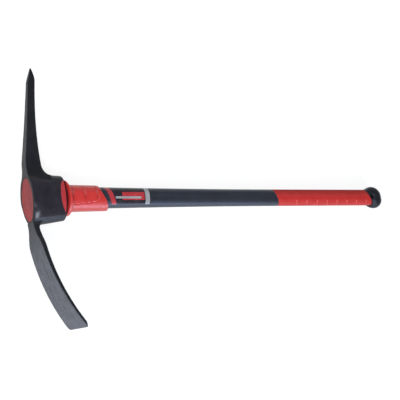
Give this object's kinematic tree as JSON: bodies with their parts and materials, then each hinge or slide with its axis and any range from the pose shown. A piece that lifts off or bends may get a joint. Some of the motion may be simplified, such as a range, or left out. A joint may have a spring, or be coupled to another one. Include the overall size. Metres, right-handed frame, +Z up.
{
  "type": "pick mattock",
  "caption": "Hand digging tool: forged head with a pick and a curved adze blade, bonded to a straight moulded fibreglass handle with a red guard, soft grip and black end knob.",
  "frame": {"origin": "centre of the tool's box, on the surface that it lies on", "axes": "+X along the handle from the head to the knob, +Y towards the pick's point, +Z up, square to the plane of head and handle"},
  "size_m": [0.914, 0.52, 0.08],
  "materials": {
    "forged_steel": "forged steel under dark lacquer, brushed grain on the broad faces",
    "plug_red": "dull moulded plastic",
    "adhesive": "set resin",
    "fibreglass": "pultruded rod",
    "guard_red": "satin moulded plastic",
    "jacket_slate": "smooth satin plastic",
    "grip_red": "soft matte rubber",
    "cap_black": "satin moulded plastic"
  },
  "bodies": {
    "root": {"head": "forged_steel", "eye_plug": "plug_red", "eye_bond": "adhesive", "core_rod": "fibreglass", "guard": "guard_red", "shaft_jacket": "jacket_slate", "grip": "grip_red", "end_cap": "cap_black"}
  },
  "joints": []
}
